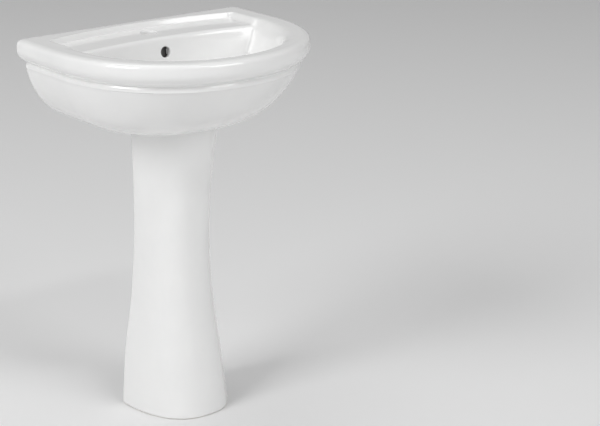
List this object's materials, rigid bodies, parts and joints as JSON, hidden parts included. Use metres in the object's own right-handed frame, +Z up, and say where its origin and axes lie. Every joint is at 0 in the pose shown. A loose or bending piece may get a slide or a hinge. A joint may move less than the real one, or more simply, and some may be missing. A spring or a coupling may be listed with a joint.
{
  "type": "pedestal sink",
  "caption": "Glazed white washbasin with a D-shaped bowl, rolled rim and open tap hole on a waisted hollow pedestal, with pop-up waste and bottle trap inside.",
  "frame": {"origin": "on the floor, under the middle of the overall box: x is the middle plane, y is halfway between the wall and the front of the rim", "axes": "+Z up, +Y towards the wall behind the basin, +X to the right as seen from the front"},
  "size_m": [0.56, 0.435, 0.82],
  "materials": {
    "china": "gloss",
    "plug_china": "gloss",
    "gasket": "matte",
    "seal": "matte",
    "waste_metal": "polished",
    "nut_metal": "machined",
    "stem_metal": "turned",
    "plastic": "satin"
  },
  "bodies": {
    "sink": {"basin": "china", "pedestal": "china", "seat_gasket": "gasket", "waste_body": "waste_metal", "waste_flange_seal": "seal", "waste_under_seal": "seal", "waste_backnut": "nut_metal", "plug_cartridge": "plastic", "trap_inlet_seal": "seal", "trap_inlet_nut": "plastic", "trap_dip_tube": "plastic", "trap_neck_nut": "plastic", "trap_neck_seal": "seal", "trap_body": "plastic", "trap_outlet_nut": "plastic", "trap_outlet_seal": "seal", "outlet_tail": "plastic"},
    "plug": {"plug_cap": "plug_china", "plug_seal": "seal", "plug_stem": "stem_metal"},
    "cup_seal": {"trap_cup_seal": "seal"},
    "cup": {"trap_cup": "plastic"}
  },
  "joints": [
    {"name": "plug_press", "type": "slide", "parent": "sink", "child": "plug", "axis": [0, 0, 1], "range_m": [0, 0.008]},
    {"name": "trap_cup_drop", "type": "slide", "parent": "sink", "child": "cup_seal", "axis": [0, 0, -1], "range_m": [0, 0.009]},
    {"name": "trap_cup_turn", "type": "hinge", "parent": "cup_seal", "child": "cup", "pos_m": [0, 0.0415, 0.48], "axis": [0, 0, -1], "range_deg": [0, 541]}
  ],
  "couplings": [
    {"joint": "trap_cup_turn", "follows": "trap_cup_drop", "rad_per_m": 1047.2}
  ]
}
